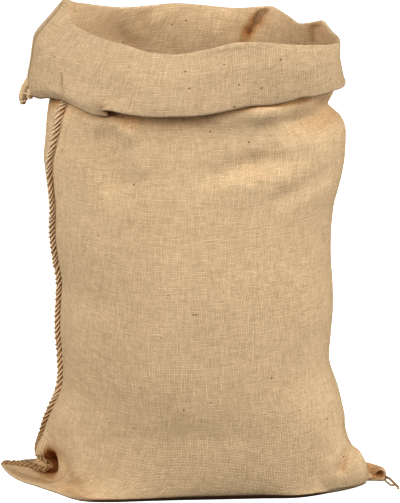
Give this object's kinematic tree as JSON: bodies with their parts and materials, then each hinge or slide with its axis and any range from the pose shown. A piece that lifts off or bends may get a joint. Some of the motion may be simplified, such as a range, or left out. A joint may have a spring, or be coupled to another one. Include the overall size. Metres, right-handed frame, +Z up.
{
  "type": "burlap sack",
  "caption": "Empty jute sack standing open on its floor, its mouth turned down into a cuff, with an overcast side seam and its lower corners lying out as ears.",
  "frame": {"origin": "on the ground under the middle of the sack's floor", "axes": "+Z up out of the mouth, -Y to the front of the sack, -X to its sewn side and +X to its folded side"},
  "size_m": [0.6209, 0.3414, 0.7474],
  "materials": {
    "jute_cloth": "undyed plain-woven jute, matt, open and slubby",
    "seam_twine": "overcast jute twine over the rolled edges of the cloth, matt and hairy",
    "loose_twine": "single jute twine, matt, with a frayed end"
  },
  "bodies": {
    "root": {"sack_cloth": "jute_cloth", "side_seam_body": "seam_twine", "side_seam_cuff": "seam_twine", "twine_tail": "loose_twine"}
  },
  "joints": []
}
